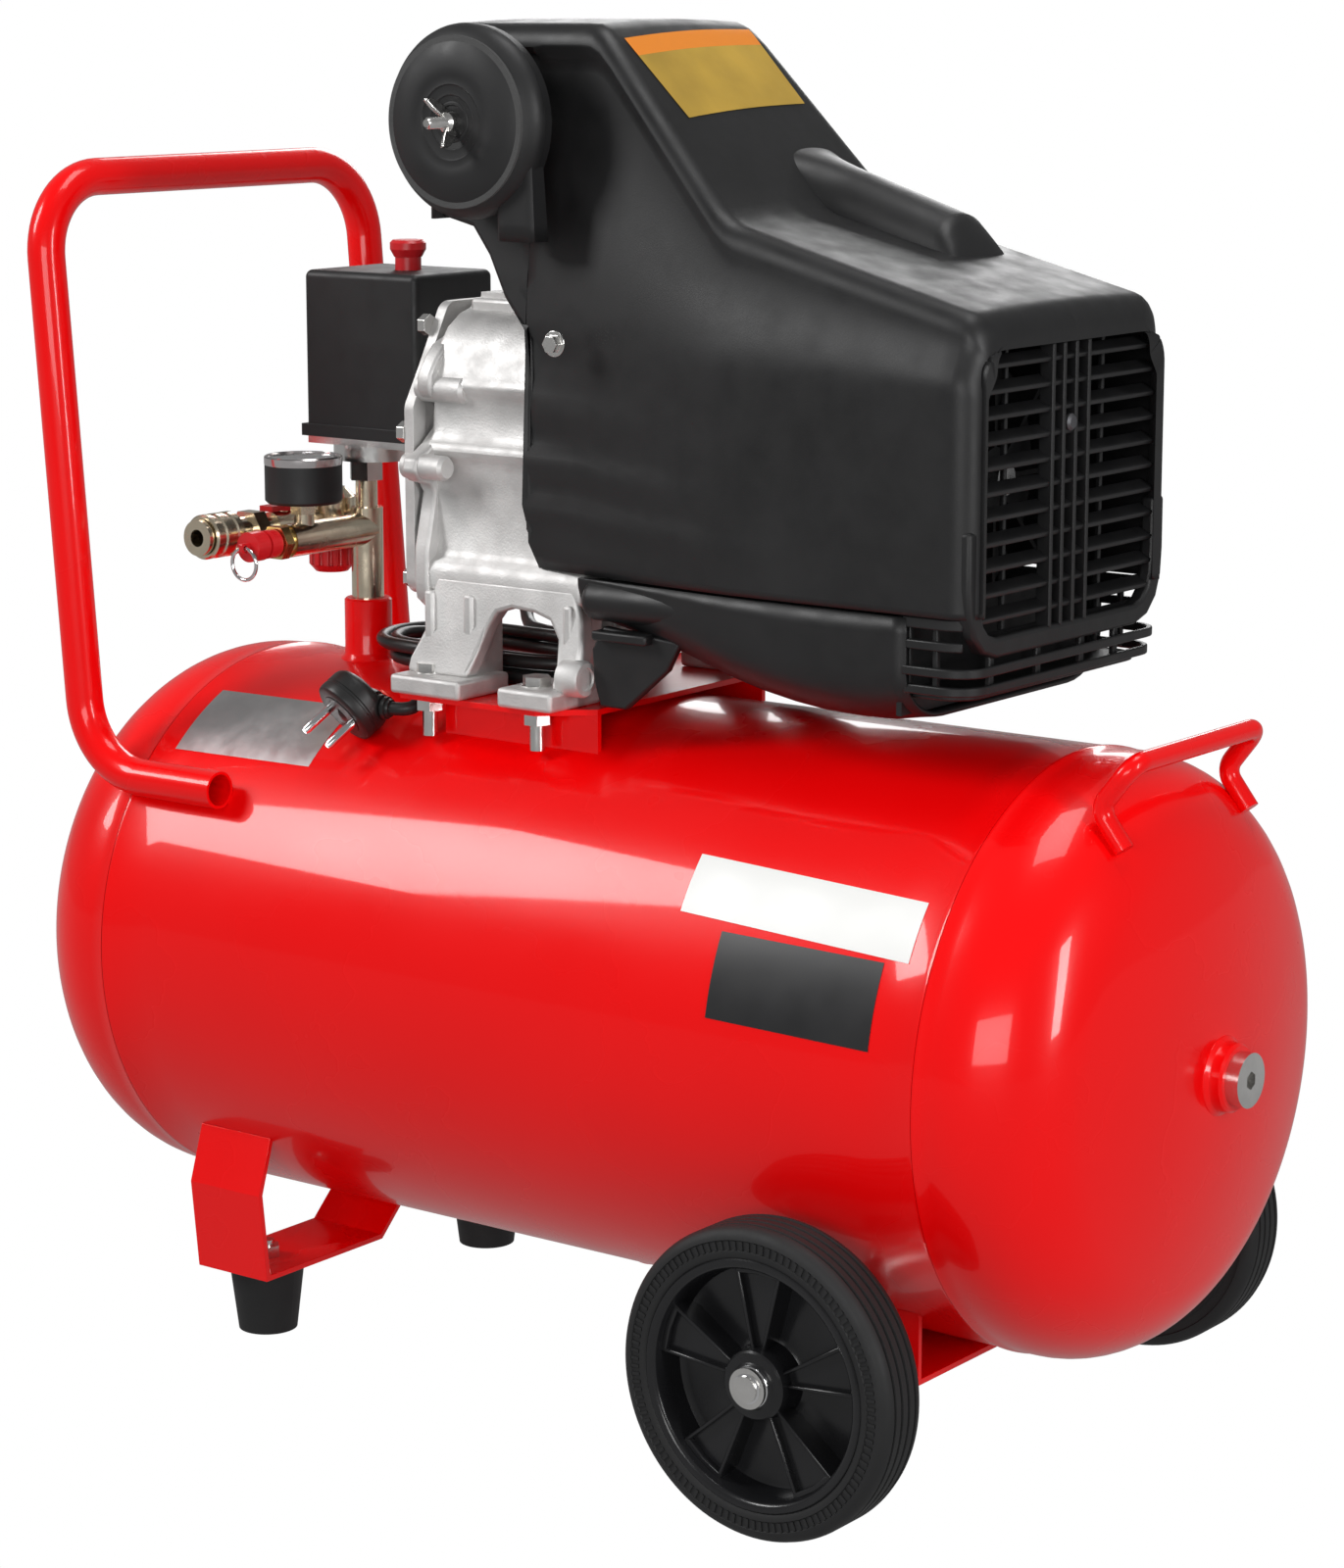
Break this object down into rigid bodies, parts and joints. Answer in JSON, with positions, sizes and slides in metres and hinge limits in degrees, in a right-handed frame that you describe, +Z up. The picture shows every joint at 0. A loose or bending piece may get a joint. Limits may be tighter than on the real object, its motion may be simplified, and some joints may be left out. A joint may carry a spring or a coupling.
{
  "type": "air compressor",
  "caption": "Wheeled portable air compressor: horizontal steel tank with a direct-drive piston pump and motor under a black shroud, push handle, pressure switch, gauge and quick coupler.",
  "frame": {"origin": "on the floor, under the middle of the overall box", "axes": "+X along the tank to the wheel end, -Y to the side with the intake filter, +Z up"},
  "size_m": [0.695, 0.3886, 0.706],
  "materials": {
    "red_paint": "gloss",
    "black_paint": "gloss",
    "black_plastic": "satin",
    "red_plastic": "gloss",
    "rim_plastic": "gloss",
    "rubber": "matte",
    "tyre": "matte",
    "zinc": "satin",
    "steel": "satin",
    "iron": "satin",
    "cast_aluminium": "satin",
    "nickel": "satin",
    "brass": "satin",
    "foam": "matte",
    "lens": "gloss",
    "cord_sheath": "satin"
  },
  "bodies": {
    "chassis": {"tank_barrel": "red_paint", "tank_head_front": "red_paint", "tank_head_rear": "red_paint", "end_plug": "zinc", "check_valve": "brass", "discharge_tube": "steel", "unloader_tube": "steel", "front_foot_bracket": "red_paint", "rubber_feet": "rubber", "hex_bolts": "zinc", "axle_bracket": "red_paint", "axle_bolts": "zinc", "main_handle": "red_paint", "grab_handle": "red_paint", "pump_base_plate": "red_paint", "crankcase": "cast_aluminium", "crankcase_cover": "cast_aluminium", "case_screws": "zinc", "cylinder": "cast_aluminium", "cylinder_head": "cast_aluminium", "piston": "cast_aluminium", "wrist_pin": "steel", "connecting_rod": "cast_aluminium", "crank_eccentric": "iron", "motor_stator": "iron", "motor_end_bell": "cast_aluminium", "motor_bearings": "steel", "shroud": "black_plastic", "shroud_tray": "black_plastic", "run_capacitor": "black_plastic", "filter_base": "black_plastic", "filter_cover": "black_plastic", "filter_element": "foam", "switch_base": "zinc", "switch_cover": "black_plastic", "manifold": "nickel", "gauge_case": "nickel", "gauge_lens": "lens", "safety_valve": "brass", "coupler_body": "nickel", "mains_plug": "cord_sheath", "cord_tail": "cord_sheath", "cord_coil": "cord_sheath", "cord_feed": "cord_sheath", "cord_gland": "cord_sheath"},
    "wheel_near": {"wheel_rim_near": "rim_plastic", "tyre_near": "tyre"},
    "wheel_far": {"wheel_rim_far": "rim_plastic", "tyre_far": "tyre"},
    "rotor": {"rotor_shaft": "steel", "cooling_fan": "black_plastic"},
    "switch_button": {"switch_knob": "red_plastic"},
    "wing_bolt": {"filter_wing_bolt": "black_plastic"},
    "needle": {"gauge_needle": "red_plastic"},
    "relief_cap": {"safety_cap": "red_plastic"},
    "relief_ring": {"safety_ring": "steel"},
    "regulator": {"regulator_knob": "red_plastic"},
    "valve_lever": {"outlet_lever": "red_plastic"},
    "sleeve": {"coupler_sleeve": "nickel"},
    "drain": {"drain_cock": "brass"}
  },
  "joints": [
    {"name": "wheel_near_turn", "type": "hinge", "parent": "chassis", "child": "wheel_near", "pos_m": [0.1899, -0.173, 0.077], "axis": [0, 1, 0], "continuous": true},
    {"name": "wheel_far_turn", "type": "hinge", "parent": "chassis", "child": "wheel_far", "pos_m": [0.1899, 0.173, 0.077], "axis": [0, 1, 0], "continuous": true},
    {"name": "rotor_turn", "type": "hinge", "parent": "chassis", "child": "rotor", "pos_m": [0.0825, 0, 0.488], "axis": [1, 0, 0], "continuous": true},
    {"name": "switch_press", "type": "slide", "parent": "chassis", "child": "switch_button", "axis": [0, 0, -1], "range_m": [0, 0.006]},
    {"name": "wing_bolt_turn", "type": "hinge", "parent": "chassis", "child": "wing_bolt", "pos_m": [-0.0575, -0.11, 0.656], "axis": [0, 1, 0], "continuous": true},
    {"name": "needle_turn", "type": "hinge", "parent": "chassis", "child": "needle", "pos_m": [-0.2055, -0.051, 0.47], "axis": [0, 0, -1], "range_deg": [0, 270], "stiffness_Nm_per_rad": 0.0004},
    {"name": "relief_pull", "type": "slide", "parent": "chassis", "child": "relief_cap", "axis": [0, -1, 0], "range_m": [0, 0.003], "stiffness_N_per_m": 600},
    {"name": "relief_ring_swing", "type": "hinge", "parent": "relief_cap", "child": "relief_ring", "pos_m": [-0.2055, -0.0988, 0.431], "axis": [-1, 0, 0], "range_deg": [-10, 80]},
    {"name": "regulator_turn", "type": "hinge", "parent": "chassis", "child": "regulator", "pos_m": [-0.2315, 0, 0.415], "axis": [0, 0, 1], "range_deg": [-360, 360]},
    {"name": "valve_lever_turn", "type": "hinge", "parent": "chassis", "child": "valve_lever", "pos_m": [-0.2315, -0.04, 0.445], "axis": [0, 0, 1], "range_deg": [0, 90]},
    {"name": "sleeve_pull", "type": "slide", "parent": "chassis", "child": "sleeve", "axis": [0, 1, 0], "range_m": [0, 0.004], "stiffness_N_per_m": 800},
    {"name": "drain_turn", "type": "hinge", "parent": "chassis", "child": "drain", "pos_m": [0.0625, 0, 0.045], "axis": [0, 0, 1], "range_deg": [0, 270]}
  ]
}
